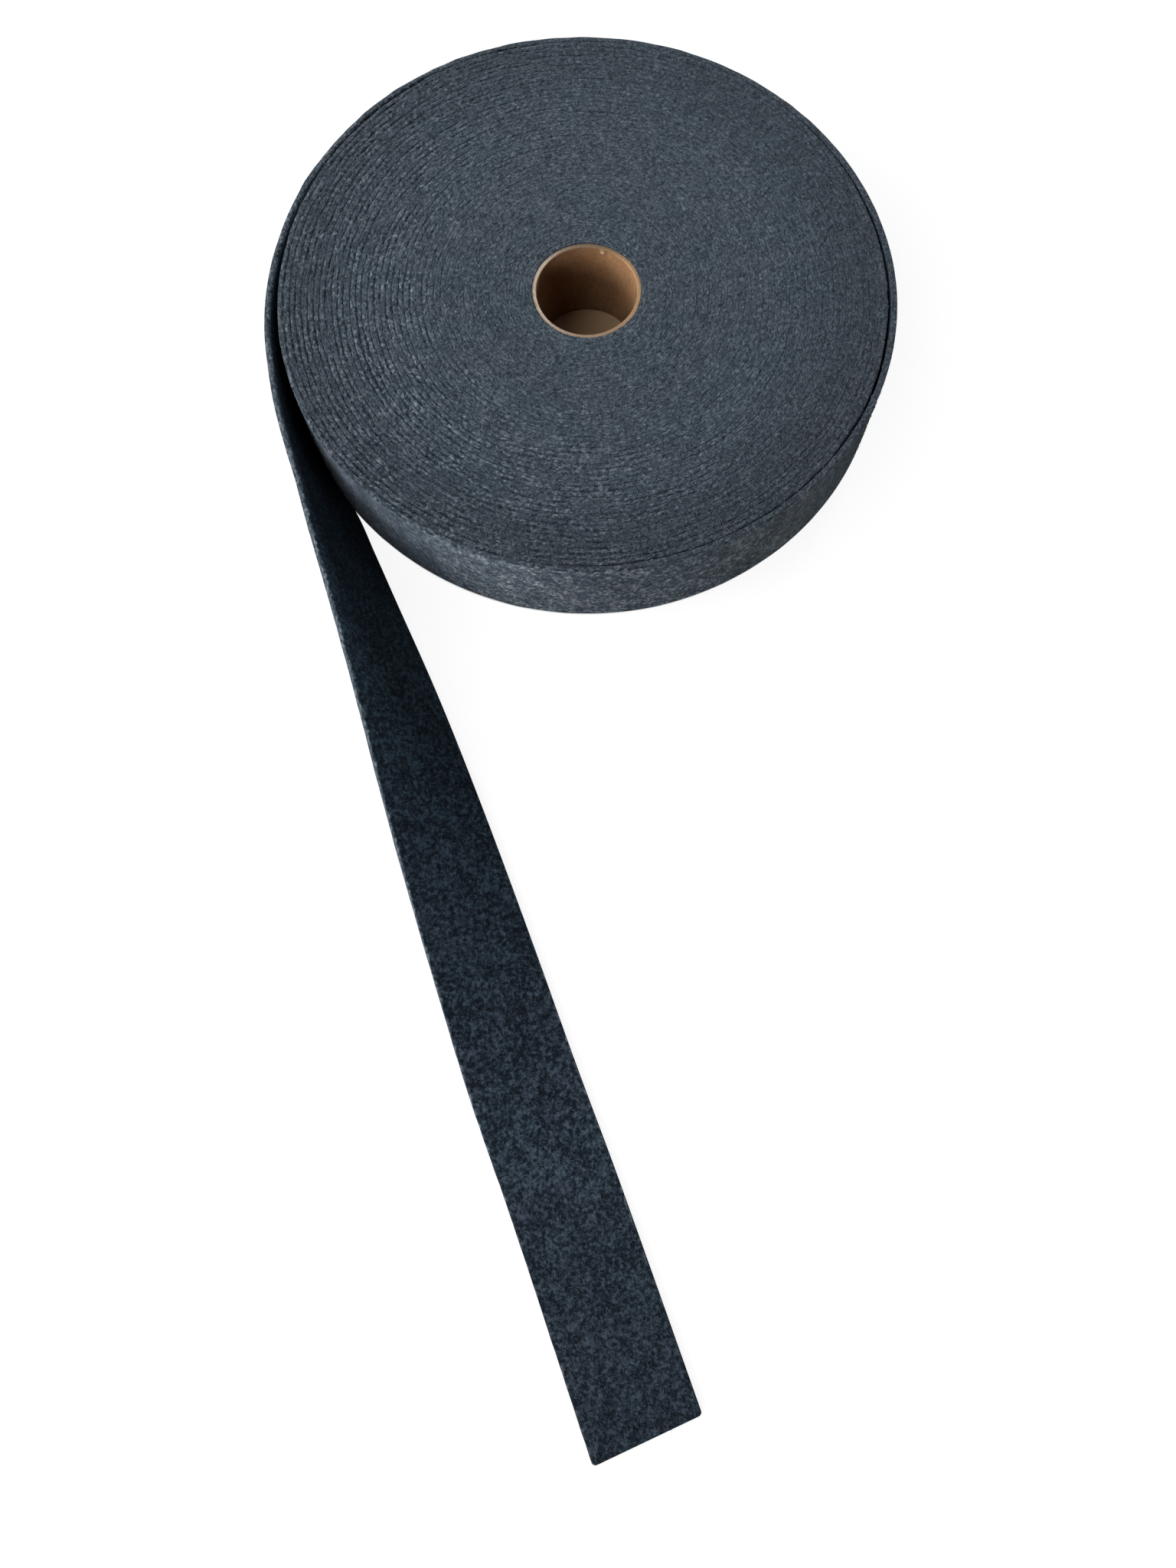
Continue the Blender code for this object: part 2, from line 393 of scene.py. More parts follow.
# The felt tape, one uncut strip about 25 metres long. Needled felt is slit to width, so its cut edges make
# the roll's flanks. It is wound tight on the tube, its last turn has gone slack, and its end is pulled out.
TAPE_WIDTH = 50.5
TAPE_THICK = 3.0
TAPE_CORNER = 1.05  # how far the fluffed corners round off where a turn lies free
PRESSED_SQUARE = 0.985  # how much of that rounding tight neighbours press out again
LOOSE_ROUND = 0.6  # and how much of the pressing a loose turn is spared
EDGE_LIFT = 0.30  # how far the upper cut edges stand above the tape's nominal width
WOUND_STEP = 3.3
PULLED_STEP = 2.5
END_SKEW = 3.2  # degrees that the cut end is off square
END_SPREAD = 0.016  # how much wider the felt lies at its cut end, and over how long it widens
END_SPREAD_OVER = 300.0
END_CORNER = 1.5
END_STEPS = (1.2, 0.7, 0.3, 0.08)  # extra sections before the cut end, for its worn corners
END_PINCH = 0.22  # how much thinner the felt is at the cut itself, and how far in that reaches
END_PINCH_OVER = 0.35
LIFT_SETTLES = 60.0  # length over which the pulled-out end loses the last turn's lift

# The outer face of the last turns: an angle round the roll and its radius there. The turns below follow it.
OUTER_FACE = (
    (-60, 150.1), (-40, 151.1), (-20, 151.7), (0, 151.8), (45, 152.3), (90, 153.0),
    (120, 153.6), (150, 153.3), (180, 152.9), (200, 152.7), (215, 152.3), (230, 151.7),
    (260, 152.2), (280, 152.9), (300, 153.6), (320, 154.9), (340, 156.2), (360, 156.6),
    (380, 156.2), (400, 155.8), (420, 155.9), (450, 156.1), (480, 157.2), (505, 157.2),
    (525, 157.6),
)
TIGHT_TURNS = 41.7  # turns of tape under the first row's outer face
TURN_PITCH = 2.94
OPENS_FROM = 240.0  # where the slack turn begins to lift
CLIMB_SHARE = 0.016  # share of the first turn in which it climbs over the tape's start
CLIMB_FADES = 8.0  # turns over which that bump dies away
CLIMB_FILL = 1.8  # how much thicker the felt may be there, to fill the notch
SWELLING = 0.6  # how much thicker a turn may be, to fill its room
LOOSE_THINNER = 0.07
TOUCH = 0.01

# The pulled-out end: the middle of the felt's section in plan from the roll's axis, and how far the felt
# leans up from the surface, 90 standing on its edge and 0 lying flat
PULLED_END = (
    (-150.9, 40.0, 89.8), (-155.1, 20.0, 89.4), (-156.8, 0.0, 88.5), (-155.9, -20.0, 87.1),
    (-152.1, -40.0, 84.6), (-146.6, -59.9, 80.8), (-138.7, -79.9, 75.2), (-129.2, -99.6, 67.0),
    (-119.8, -124.8, 61.9), (-110.4, -150.0, 57.6), (-92.2, -200.0, 46.9), (-72.1, -260.0, 33.3),
    (-48.7, -330.0, 19.3), (-30.1, -385.0, 8.3), (-11.8, -435.0, 0.0), (4.2, -480.0, 0.0),
    (22.95, -533.0, 0.0),
)

# Slow waves along the wound tape: how many to a turn, their height and where they start. No count is whole,
# so that neighbouring turns differ.
Wave = namedtuple("Wave", "per_turn height start")
LOOSENESS = (Wave(1.37, 0.05, 0.3), Wave(3.71, 0.06, 2.2), Wave(8.23, 0.05, 4.1), Wave(15.6, 0.04, 1.0))
EDGE_HEIGHT = (Wave(0.43, 0.08, 1.2), Wave(1.71, 0.05, 0.1), Wave(4.37, 0.04, 3.3), Wave(11.3, 0.05, 5.0))
EDGE_WAVES_FROM = (60.0, 120.0)  # radii between which those grow to their height
WAVES_END = 240.0  # how far past the first row's angle they go on

# How loose the turns lie, from 0 to 1: more on one side of the roll, towards its rim, and by chance
LOOSE_SIDE = 204.0
LOOSE_FOCUS = 1.6  # how closely it keeps to that side
LOOSE_FROM = (55.0, 115.0)  # radii between which it sets in
LOOSE_MOST = 0.72
LOOSE_WAVES = 1.2
LOOSE_CHANCE = 1.15
RIM_LOOSE_FROM = (138.0, 148.0)  # the same for what the last turns have besides, all round and on that side
RIM_LOOSE = 0.12
RIM_LOOSE_SIDE = 0.38
UNEVEN_SEED = 4
UNEVEN_RADIUS = 0.20
SOFTENED = (0.25, 0.5, 0.25)  # each chance value's share with its two neighbours

# The dyed fibres, and how strongly their pattern shows on each face and on the cut edges
FELT_STEPS = (
    (0.00, (0.0040, 0.0088, 0.0168)),
    (0.25, (0.0170, 0.0250, 0.0370)),
    (0.50, (0.0440, 0.0570, 0.0730)),
    (0.75, (0.1080, 0.1330, 0.1600)),
    (1.00, (0.2300, 0.2650, 0.3000)),
)
FELT_FLECKS = (0.0023, 0.0011, 0.0030, 0.0060)  # fibres along the tape
FELT_STRAYS = (0.0014, 0.0014, 0.0040, 0.0075)  # fibres that run across its turns
FLECKS_SHOW = 0.62
STRAYS_SHOW = 0.38
CLOUDS_SHOW = 0.10
HAIRS_SHOW = 0.05
INNER_CONTRAST = 1.74
OUTER_CONTRAST = 0.95
TIGHT_CONTRAST = 0.74  # on the cut edges of tight turns, and what loose ones have besides
LOOSE_CONTRAST = 0.42
INNER_BEND = (0.55, 0.05)  # deepens the inner face's dark fibres and holds back its pale ones
Pattern = namedtuple("Pattern", "per_metre detail roughness")
GRAIN = Pattern(620.0, 3.0, 0.85)  # finer grain and broader clouds that only the faces have
GRAIN_SHOWS = 1.90
THIN_PLACES = Pattern(90.0, 3.0, 0.6)
THIN_SHOWS = 0.80
DYE_LOTS = Pattern(34.0, 1.0, 0.5)  # how the dye wanders across the felt
DYE_TEAL = (0.965, 1.010, 0.995)
DYE_VIOLET = (1.035, 0.990, 1.010)
EDGE_ROUGHNESS = Pattern(140.0, 2.0, 0.5)  # how unevenly the upper cut edges stand
ROUGH_LIFT = 0.48

# The joins between turns: painted shade near the tape's faces where turns lie loose, bridged here and there
GROOVE = (0.0002, 0.0014)  # distances from the middle of the felt between which a join darkens
GROOVE_SHADE = -0.46
RIDGE_HIGHLIGHT = 0.13  # painted highlight: loose cut edges are this much paler between their joins
BRIDGES = Pattern(330.0, 1.0, 0.5)

# Shading that matches the photo, painted into the colour: the two faces' colours against the cut edges',
# partly the felt's own and partly painted light and shade, then painted shade and shadow on parts of them. A
# side is a direction round the roll, with the cosines of the angles off it where a tint sets in and is full.
# A stretch runs along Y from the roll's axis.
Side = namedtuple("Side", "angle sets_in full")
INNER_SHADE = (0.213, 0.253, 0.305)
OUTER_SHADE = (1.34, 1.28, 1.22)
RIM_SHADE = 0.31  # how much darker the cut edges get towards the rim, and the painted shade that its front right, away from the main lamps, has besides
RIM_SHADE_FROM = (0.095, 0.145)
RIM_RIGHT_PAINTED_SHADE = 0.08
RIM_RIGHT_SIDE = Side(312.0, 0.10, 0.95)
TAIL_SIDE = Side(226.0, cos(radians(26.0)), cos(radians(6.0)))  # painted shadow of the pulled-out end on the outer face beside it
TAIL_SHADOW_TINT = (0.37, 0.41, 0.47)
RIGHT_SIDE = Side(322.0, cos(radians(34.0)), cos(radians(10.0)))  # and browner painted shade at the front right, away from the main lamps
RIGHT_SHADE_TINT = (1.0, 0.93, 0.84)
NEAR_STRETCH = (-0.185, -0.115)  # painted shade of the roll on the inner face next to it
NEAR_ROLL_SHADE = (0.58, 0.60, 0.74)
UPPER_STRETCH = (-0.40, -0.10)  # and bluer painted shade on the upper half of the pulled-out end's inner face
UPPER_SHADE_TINT = (0.67, 1.0, 1.0)
END_STRETCH = (-0.48, -0.40)  # painted shade on the last stretch before the cut end
END_SHADE = 0.27
WOUND_RIM = 0.154  # a radius just outside the wound turns, where the end is pulled out
WHITE = (1.0, 1.0, 1.0)


def smooth(knots, values, at):
    """Read one smooth curve through a table's rows at the places asked for."""
    knots = np.asarray(knots, dtype=float)
    values = np.asarray(values, dtype=float)
    slopes = np.gradient(values, knots)
    row = np.clip(np.searchsorted(knots, at) - 1, 0, len(knots) - 2)
    span = knots[row + 1] - knots[row]
    t = (at - knots[row]) / span
    from_ends = values[row] * (1 + 2 * t) * (1 - t) ** 2 + values[row + 1] * t ** 2 * (3 - 2 * t)
    from_slopes = slopes[row] * t * (1 - t) ** 2 - slopes[row + 1] * t ** 2 * (1 - t)
    return from_ends + span * from_slopes


def eased(value, low, high):
    """How far a value is between two others, from 0 to 1, eased at both ends."""
    share = np.clip((value - low) / (high - low), 0.0, 1.0)
    return share * share * (3 - 2 * share)


def at_least(least, share):
    """A share that runs from the least value to 1 instead of from 0."""
    return least + (1.0 - least) * share


def waves_at(waves, angles):
    return sum(w.height * np.sin(np.radians(angles) * w.per_turn + w.start) for w in waves)


def face_radius(angles):
    return smooth(*zip(*OUTER_FACE), angles)


def tube_radius(angles):
    """How far the tube's outer face is from the roll's axis, which isn't quite the tube's own."""
    turn = np.radians(angles)
    towards = CORE_CENTRE[0] * np.cos(turn) + CORE_CENTRE[1] * np.sin(turn)
    return towards + np.sqrt(TUBE_OUTER ** 2 - CORE_CENTRE[0] ** 2 - CORE_CENTRE[1] ** 2 + towards ** 2)


def wound_tape():
    """The wound stretch from the tube outwards: angles, outer radii, thicknesses and looseness."""
    first, last = OUTER_FACE[0][0], OUTER_FACE[-1][0]
    start = first - 360.0 * (TIGHT_TURNS - 1.0)
    per_degree = TURN_PITCH / 360.0
    length = np.radians(last - start) * (TUBE_OUTER + per_degree * (last - start) / 2)
    wound = np.linspace(0.0, length, int(length / WOUND_STEP))
    slope = TURN_PITCH / (2 * pi)
    angles = start + np.degrees((np.sqrt(TUBE_OUTER ** 2 + 2 * slope * wound) - TUBE_OUTER) / slope)
    below = np.mod(angles - first, 360.0) + first
    opening = face_radius(first + 360.0) - face_radius(first) - TURN_PITCH
    tight = face_radius(below) - opening * eased(below, OPENS_FROM, first + 360.0)
    turns = 1.0 + (angles - start) / 360.0
    whole = np.floor(turns)
    part = turns - whole
    climb = eased(part, 1.0 - CLIMB_SHARE, 1.0)
    stacked = whole + part + (climb - part) * np.exp(-(whole - 1.0) / CLIMB_FADES)
    tube = tube_radius(angles)
    radius = tube + (tight - tube) * stacked / (TIGHT_TURNS + (below - first) / 360.0)
    outermost = angles >= first
    radius[outermost] = face_radius(angles[outermost])

    inside = angles < first + WAVES_END
    uneven = np.random.default_rng(UNEVEN_SEED).normal(0.0, 1.0, (2, len(angles)))
    uneven = np.array([np.convolve(row, SOFTENED, "same") for row in uneven])
    radius += inside * (waves_at(LOOSENESS, angles) + UNEVEN_RADIUS * uneven[1])
    under = np.where(angles < start + 360.0, tube, np.interp(angles - 360.0, angles, radius))
    room = radius - under - TOUCH

    on_side = (0.5 + 0.5 * np.cos(np.radians(angles - LOOSE_SIDE))) ** LOOSE_FOCUS
    outwards = eased(radius, *LOOSE_FROM)
    loose = LOOSE_MOST * outwards * at_least(0.06, on_side)
    loose += (RIM_LOOSE + RIM_LOOSE_SIDE * on_side) * eased(radius, *RIM_LOOSE_FROM)
    loose += LOOSE_WAVES * waves_at(LOOSENESS, angles * 1.7 + 40.0) * outwards * at_least(0.2, on_side)
    loose += LOOSE_CHANCE * uneven[0] * outwards * at_least(0.1, on_side)
    loose = np.clip(loose, 0.0, 1.0)
    climbing = inside * (whole < 2) * (part > 1.0 - 1.5 * CLIMB_SHARE)
    thick = np.minimum(TAPE_THICK + SWELLING * inside + CLIMB_FILL * climbing, room)
    thick -= LOOSE_THINNER * loose ** 2 * inside
    return angles, radius, thick, loose


def tape_path():
    """The middle of every section of the tape, and the facts that shape each section."""
    angles, radius, thick, loose = wound_tape()
    middle = radius - thick / 2
    turn = np.radians(angles)
    wound = np.column_stack([middle * np.cos(turn), middle * np.sin(turn)])

    rows = np.array(PULLED_END)
    along = np.append(0.0, np.cumsum(np.hypot(*np.diff(rows[:, :2], axis=0).T)))
    length = along[-1]
    at = np.linspace(PULLED_STEP, length, int(length / PULLED_STEP))
    at = np.sort(np.append(at, length - np.array(END_STEPS)))
    pulled = np.column_stack([smooth(along, rows[:, 0], at), smooth(along, rows[:, 1], at)])
    lean = np.clip(smooth(along, rows[:, 2], at), 0.0, 90.0)

    plan = np.vstack([wound, pulled])
    lean = np.radians(np.append(np.full(len(wound), 90.0), lean))
    travelled = np.append(0.0, np.cumsum(np.hypot(*np.diff(plan, axis=0).T)))
    from_end = travelled[-1] - travelled
    leaves_at = travelled[len(wound)]

    waves = waves_at(EDGE_HEIGHT, angles) * at_least(0.3, eased(radius, *EDGE_WAVES_FROM))
    lift = EDGE_LIFT + waves * at_least(0.4, loose)
    settled = 1.0 - eased(travelled[len(wound):], leaves_at, leaves_at + LIFT_SETTLES)
    lift = np.append(lift, lift[-1] * settled)
    press = np.append(thick / TAPE_THICK, np.ones(len(pulled)))
    press *= 1.0 - END_PINCH * np.clip(1.0 - from_end / END_PINCH_OVER, 0.0, 1.0)
    into_corner = np.clip(END_CORNER - from_end, 0.0, END_CORNER)
    half_width = TAPE_WIDTH / 2 - END_CORNER + np.sqrt(END_CORNER ** 2 - into_corner ** 2)
    half_width *= 1.0 + END_SPREAD * (1.0 - eased(from_end, 0.0, END_SPREAD_OVER))
    height = TAPE_WIDTH / 2 * np.sin(lean) + TAPE_THICK / 2 * np.cos(lean)
    places = np.column_stack([plan[:, 0] * MM + ROLL_X, plan[:, 1] * MM + ROLL_Y, height * MM])
    facts = {
        "lean": lean,
        "travelled": travelled * MM,
        "press": press,
        "looseness": np.append(loose, np.ones(len(pulled))),
        "edge_lift": lift * MM,
        "end_skew": np.tan(np.radians(END_SKEW)) * np.clip(1.0 - from_end / TAPE_WIDTH, 0.0, 1.0),
        "width_share": half_width / (TAPE_WIDTH / 2),
    }
    return places, facts


def new_geometry_tree(name, *sizes):
    """A modifier's tree with a geometry in and out, and inputs given as (name, type, value)."""
    tree = bpy.data.node_groups.new(name, "GeometryNodeTree")
    tree.is_modifier = True
    for way in ("INPUT", "OUTPUT"):
        tree.interface.new_socket("Geometry", in_out=way, socket_type="NodeSocketGeometry")
    for size, kind, value in sizes:
        socket = tree.interface.new_socket(size, in_out="INPUT", socket_type="NodeSocket" + kind)
        if value is not None:
            socket.default_value = value
    return tree, tree.nodes.new("NodeGroupInput").outputs


def shaped(tree, kind, inputs=(), **options):
    """One Geometry node's result."""
    return put(tree, "GeometryNode" + kind, inputs, **options).outputs[0]


def named(tree, name, kind="FLOAT"):
    return put(tree, "GeometryNodeInputNamedAttribute", {"Name": name}, data_type=kind).outputs["Attribute"]


def store(tree, geometry, name, value, kind="FLOAT"):
    inputs = {"Geometry": geometry, "Name": name, "Value": value}
    return shaped(tree, "StoreNamedAttribute", inputs, data_type=kind, domain="POINT")


def end_tree(tree, geometry, material):
    """Make the result plain geometry of one material and hand it out."""
    geometry = shaped(tree, "RealizeInstances", {0: geometry})
    finished = shaped(tree, "SetMaterial", {"Geometry": geometry, "Material": material})
    put(tree, "NodeGroupOutput", {0: finished})


def run_tree(host, tree, **sizes):
    """Run a tree on an object, with its inputs set, and hand back the plain mesh that it makes."""
    modifier = host.modifiers.new(tree.name, "NODES")
    modifier.node_group = tree
    sockets = {item.name: item.identifier for item in tree.interface.items_tree if item.in_out == "INPUT"}
    for name, value in sizes.items():
        modifier[sockets[name.replace("_", " ").title()]] = value
    made = bpy.data.meshes.new_from_object(host.evaluated_get(bpy.context.evaluated_depsgraph_get()))
    host.modifiers.remove(modifier)
    return made


def tape_tree(material):
    """Sweep the tape's rounded section along its path, twist it by its lean, and shape its edges and end."""
    tree, size = new_geometry_tree(
        "wind felt tape",
        ("Tape Width", "Float", TAPE_WIDTH * MM),
        ("Tape Thickness", "Float", TAPE_THICK * MM),
        ("Edge Rounding", "Float", TAPE_CORNER * MM),
        ("Edge Roughness", "Float", ROUGH_LIFT * MM),
        ("Felt", "Material", material),
    )
    path = shaped(tree, "MeshToCurve", {0: size["Geometry"]})
    path = shaped(tree, "SetCurveNormal", {"Curve": path}, mode="Z_UP")
    tilt = minus(tree, pi / 2, named(tree, "lean"))
    path = shaped(tree, "SetCurveTilt", {"Curve": path, "Tilt": tilt})
    tangent = shaped(tree, "InputTangent")
    path = store(tree, path, "heading", tangent, "FLOAT_VECTOR")

    sides = {"Width": size["Tape Thickness"], "Height": size["Tape Width"]}
    section = shaped(tree, "CurvePrimitiveQuadrilateral", sides)
    rounding = {"Curve": section, "Radius": size["Edge Rounding"], "Count": 2}
    section = shaped(tree, "FilletCurve", rounding, mode="POLY")
    corner = separated(tree, shaped(tree, "InputPosition"))
    section = store(tree, section, "through", corner["X"])
    section = store(tree, section, "across", times(tree, corner["Y"], -1.0))

    swept = {"Curve": path, "Profile Curve": section, "Fill Caps": True}
    tape = shaped(tree, "CurveToMesh", swept)

    across, through = named(tree, "across"), named(tree, "through")
    heading = named(tree, "heading", "FLOAT_VECTOR")
    rise = maths(tree, "SINE", named(tree, "lean"))
    run = maths(tree, "COSINE", named(tree, "lean"))
    level = vector_maths(tree, "CROSS_PRODUCT", heading, (0.0, 0.0, 1.0))
    level = vector_maths(tree, "NORMALIZE", level)
    across_way = vector_maths(tree, "ADD", scaled(tree, level, run), combined(tree, Z=rise))
    downwards = combined(tree, Z=times(tree, run, -1.0))
    through_way = vector_maths(tree, "ADD", scaled(tree, level, rise), downwards)

    felt_place = combined(tree, X=named(tree, "travelled"), Y=across, Z=through)
    rough = noise(tree, felt_place, *EDGE_ROUGHNESS)
    lift = swing(tree, rough, size["Edge Roughness"], named(tree, "edge_lift"))
    upper = maths(tree, "ADD", maths(tree, "DIVIDE", across, size["Tape Width"]), 0.5)
    lifted = times(tree, upper, lift)
    wider = times(tree, across, minus(tree, named(tree, "width_share"), 1.0))
    half_width = times(tree, size["Tape Width"], 0.5)
    rounded_off = minus(tree, half_width, maths(tree, "ABSOLUTE", across))
    pressed = times(tree, maths(tree, "SIGN", across), rounded_off)
    spared = times_plus(tree, named(tree, "looseness"), -LOOSE_ROUND, 1.0)
    wider = times_plus(tree, times(tree, pressed, spared), PRESSED_SQUARE, wider)
    thicker = times(tree, through, minus(tree, named(tree, "press"), 1.0))
    askew = times(tree, across, named(tree, "end_skew"))
    offset = scaled(tree, across_way, maths(tree, "ADD", wider, lifted))
    for way, amount in ((through_way, thicker), (heading, askew)):
        offset = vector_maths(tree, "ADD", offset, scaled(tree, way, amount))
    tape = store(tree, tape, "felt_space", felt_place, "FLOAT_VECTOR")
    tape = shaped(tree, "SetPosition", {"Geometry": tape, "Offset": offset})
    for name in ("heading", "lean", "press", "edge_lift", "end_skew", "width_share", "through", "across",
                 "travelled"):
        tape = shaped(tree, "RemoveAttribute", {"Geometry": tape, "Name": name})
    end_tree(tree, tape, size["Felt"])
    return tree


def felt_material():
    """Needled felt of blue-grey, charcoal and a few pale fibres, much darker on its inner face partly by
    painted shade.
    """
    material, tree, shader = new_material("slate_felt", 0.95)
    place = put(tree, "ShaderNodeAttribute", attribute_name="felt_space").outputs["Vector"]
    loose = put(tree, "ShaderNodeAttribute", attribute_name="looseness").outputs["Fac"]
    here = tree.nodes.new("ShaderNodeTexCoord").outputs["Object"]
    fibres = fibres_at(tree, place, FELT_FLECKS)
    strays = fibres_at(tree, here, FELT_STRAYS)
    across, through = separated(tree, place)[1:]
    half_width = TAPE_WIDTH / 2 * MM
    edge = remap(tree, maths(tree, "ABSOLUTE", across), half_width - 0.0016, half_width - 0.0007)
    face = minus(tree, 1.0, edge)
    outer = remap(tree, through, -0.0010, 0.0010)
    outer_face = times(tree, face, outer)
    inner_face = times(tree, face, minus(tree, 1.0, outer))

    tone = swing(tree, strays["Flecks"], STRAYS_SHOW)
    tone = swing(tree, fibres["Flecks"], FLECKS_SHOW, tone)
    tone = swing(tree, strays["Clouds"], CLOUDS_SHOW, tone)
    tone = times_plus(tree, fibres["Hairs"], HAIRS_SHOW, tone)
    tone = swing(tree, noise(tree, here, *GRAIN), times(tree, face, GRAIN_SHOWS), tone)
    on_faces = times_plus(tree, outer, OUTER_CONTRAST - INNER_CONTRAST, INNER_CONTRAST)
    on_edges = times_plus(tree, loose, LOOSE_CONTRAST, TIGHT_CONTRAST)
    on_edges = times(tree, on_edges, edge)
    tone = swing(tree, tone, times_plus(tree, on_faces, face, on_edges))
    tone = swing(tree, noise(tree, here, *THIN_PLACES), times(tree, face, THIN_SHOWS), tone)
    off_middle = minus(tree, tone, 0.5)
    off_middle = times(tree, off_middle, off_middle)
    bent = times_plus(tree, off_middle, -INNER_BEND[0], INNER_BEND[1])
    tone = times_plus(tree, bent, inner_face, tone)

    # Painted shade in the joins of loose turns, and a painted highlight on their cut edges
    grooved = times(tree, edge, loose)
    bridged = remap(tree, noise(tree, here, *BRIDGES), 0.40, 0.62, 1.0, -0.15)
    groove = remap(tree, maths(tree, "ABSOLUTE", through), *GROOVE)
    groove = times(tree, groove, times(tree, grooved, bridged))
    tone = times_plus(tree, grooved, RIDGE_HIGHLIGHT, tone)
    tone = times_plus(tree, groove, GROOVE_SHADE, tone)
    colour = colour_steps(tree, tone, FELT_STEPS)
    shade = mixed(tree, edge, mixed(tree, outer, INNER_SHADE, OUTER_SHADE), WHITE)
    colour = vector_maths(tree, "MULTIPLY", colour, shade)
    dye = mixed(tree, remap(tree, noise(tree, here, *DYE_LOTS), 0.35, 0.65), DYE_TEAL, DYE_VIOLET)
    colour = vector_maths(tree, "MULTIPLY", colour, dye)

    from_axis = vector_maths(tree, "SUBTRACT", here, (ROLL_X, ROLL_Y, 0.0))
    forth = separated(tree, from_axis)["Y"]
    from_axis = vector_maths(tree, "MULTIPLY", from_axis, (1.0, 1.0, 0.0))
    radius = measure(tree, "LENGTH", from_axis)

    def on_side(side):
        """1 close to one direction round the roll, and 0 well off it."""
        way = (cos(radians(side.angle)), sin(radians(side.angle)), 0.0)
        towards = maths(tree, "DIVIDE", measure(tree, "DOT_PRODUCT", from_axis, way), radius)
        return remap(tree, towards, side.sets_in, side.full)

    # Painted shadow and shade as tints: the pulled-out end's shadow beside it, browner shade at the front
    # right, and the roll's shade and bluer shade on the end's inner face
    wound = times(tree, outer_face, maths(tree, "LESS_THAN", radius, WOUND_RIM))
    for mask, where, tint in (
        (on_side(TAIL_SIDE), wound, TAIL_SHADOW_TINT),
        (on_side(RIGHT_SIDE), outer_face, RIGHT_SHADE_TINT),
        (remap(tree, forth, *NEAR_STRETCH), inner_face, NEAR_ROLL_SHADE),
        (remap(tree, forth, *UPPER_STRETCH), inner_face, UPPER_SHADE_TINT),
    ):
        tinted = mixed(tree, times(tree, mask, where), WHITE, tint)
        colour = vector_maths(tree, "MULTIPLY", colour, tinted)
    # The cut edges darker towards the rim, with painted shade besides at its front right, and painted shade
    # on the last stretch before the cut end
    darker = times_plus(tree, on_side(RIM_RIGHT_SIDE), RIM_RIGHT_PAINTED_SHADE, RIM_SHADE)
    towards_rim = times(tree, remap(tree, radius, *RIM_SHADE_FROM), edge)
    near_end = remap(tree, forth, *END_STRETCH, END_SHADE, 0.0)
    darker = times_plus(tree, darker, towards_rim, near_end)
    colour = scaled(tree, colour, minus(tree, 1.0, darker))
    tree.links.new(colour, shader.inputs["Base Color"])
    shader.inputs["Specular Tint"].default_value = (0.55, 0.78, 1.0, 1.0)
    shader.inputs["Sheen Weight"].default_value = 0.10
    shader.inputs["Sheen Roughness"].default_value = 0.5
    shader.inputs["Sheen Tint"].default_value = (0.75, 0.88, 1.0, 1.0)
    add_bump(tree, shader, maths(tree, "ADD", fibres["Relief"], strays["Flecks"]), 0.00025, 0.8)
    return material


slate_felt = felt_material()


def make_tape():
    places, facts = tape_path()
    line = bpy.data.meshes.new("tape path")
    line.from_pydata(places, [(i, i + 1) for i in range(len(places) - 1)], [])
    for name, values in facts.items():
        line.attributes.new(name, "FLOAT", "POINT").data.foreach_set("value", values.astype(np.float32))
    host = new_object("tape path", line)
    tape = run_tree(host, tape_tree(slate_felt))
    bpy.data.objects.remove(host)
    tape.shade_smooth()
    return tape, facts["travelled"][-1]


tape_mesh, tape_length = make_tape()
felt_tape = place_piece("felt_tape", tape_mesh, "felt", "wound_roll", "loose_end")
evened = felt_tape.modifiers.new("faces stay flat", "WEIGHTED_NORMAL")
evened.keep_sharp = True


# Loose fibres on the felt. Needling leaves ends that stand off its faces and cut edges: fine bent strands of
# the pale, grey and dark wool in the mix, which lie over the joins between turns.
ON_CUT_EDGES, ON_OUTER_FACE, ON_INNER_FACE = 1, 2, 3
Fluff = namedtuple("Fluff", "name place per_square_mm length thickness seed colour")
# The face fibres take their face's colour, which is partly painted light and shade.
FLUFF = (
    Fluff("pale_edge_fibres", ON_CUT_EDGES, 0.20, 0.0020, 0.00025, 11, (0.110, 0.133, 0.157)),
    Fluff("grey_edge_fibres", ON_CUT_EDGES, 0.36, 0.0025, 0.00034, 12, (0.060, 0.077, 0.095)),
    Fluff("dark_edge_fibres", ON_CUT_EDGES, 0.18, 0.0022, 0.00030, 13, (0.022, 0.031, 0.042)),
    Fluff("outer_face_fibres", ON_OUTER_FACE, 0.16, 0.0018, 0.00022, 14, (0.095, 0.110, 0.128)),
    Fluff("inner_face_fibres", ON_INNER_FACE, 0.30, 0.0022, 0.00028, 15, (0.036, 0.050, 0.066)),
)
FLUFF_DYE = Pattern(420.0, 0.0, 0.5)
STRAND_BENDS = ((0.10, 0.06), (-0.06, 0.04), (0.15, 0.03), (-0.12, 0.06))  # aside and up, in strand lengths
STRAND_ROLL = (-0.6, 0.6)  # radians that a strand rolls over and tips off the felt at random
STRAND_TIP = (-0.16, 0.10)
STRAND_SIZES = (0.6, 1.3)
FLUFF_CLEAR = 0.0022  # no strand starts lower than this
FLUFF_FROM_EDGE = 2.4  # nor, on a face, nearer than this to the felt's edges
PULLED_LENGTH = 600.0  # of the pulled-out end, and of the turn before it, whose outer face shows
OUTER_TURN = 980.0
EDGE_FLUFF_ENDS = 540.0  # how far from the cut end that on the cut edges stops
FACE_WITHIN = 0.4  # how deep a mesh face may reach and still lie on the felt's face or on its cut edge
EDGE_WITHIN = 0.1
